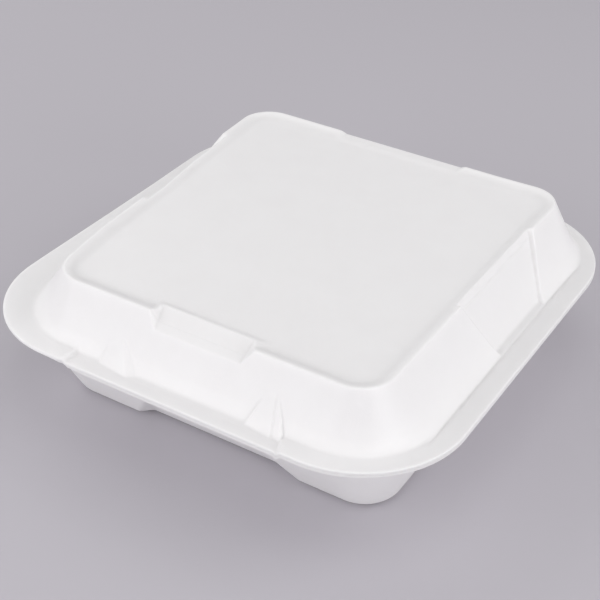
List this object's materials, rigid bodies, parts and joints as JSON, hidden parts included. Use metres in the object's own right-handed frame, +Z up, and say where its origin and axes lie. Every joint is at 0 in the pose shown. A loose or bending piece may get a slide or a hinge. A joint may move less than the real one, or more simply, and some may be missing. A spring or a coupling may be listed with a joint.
{
  "type": "foam clamshell container",
  "caption": "Square white foam takeaway box with a hinged, rimmed lid over a tapered tray, wide flanges round the seam and a notch in the front rim.",
  "frame": {"origin": "middle of the floor face, on the surface the closed container stands on", "axes": "+X along the front edge to the right as seen from the front, +Y from the front edge to the hinge, +Z up"},
  "size_m": [0.235, 0.235, 0.076],
  "materials": {
    "foam": "satin white foam sheet"
  },
  "bodies": {
    "base": {"base": "foam"},
    "lid": {"lid": "foam"}
  },
  "joints": [
    {"name": "lid_hinge", "type": "hinge", "parent": "base", "child": "lid", "pos_m": [0, 0.1175, 0.0484], "axis": [-1, 0, 0], "range_deg": [0, 180]}
  ]
}
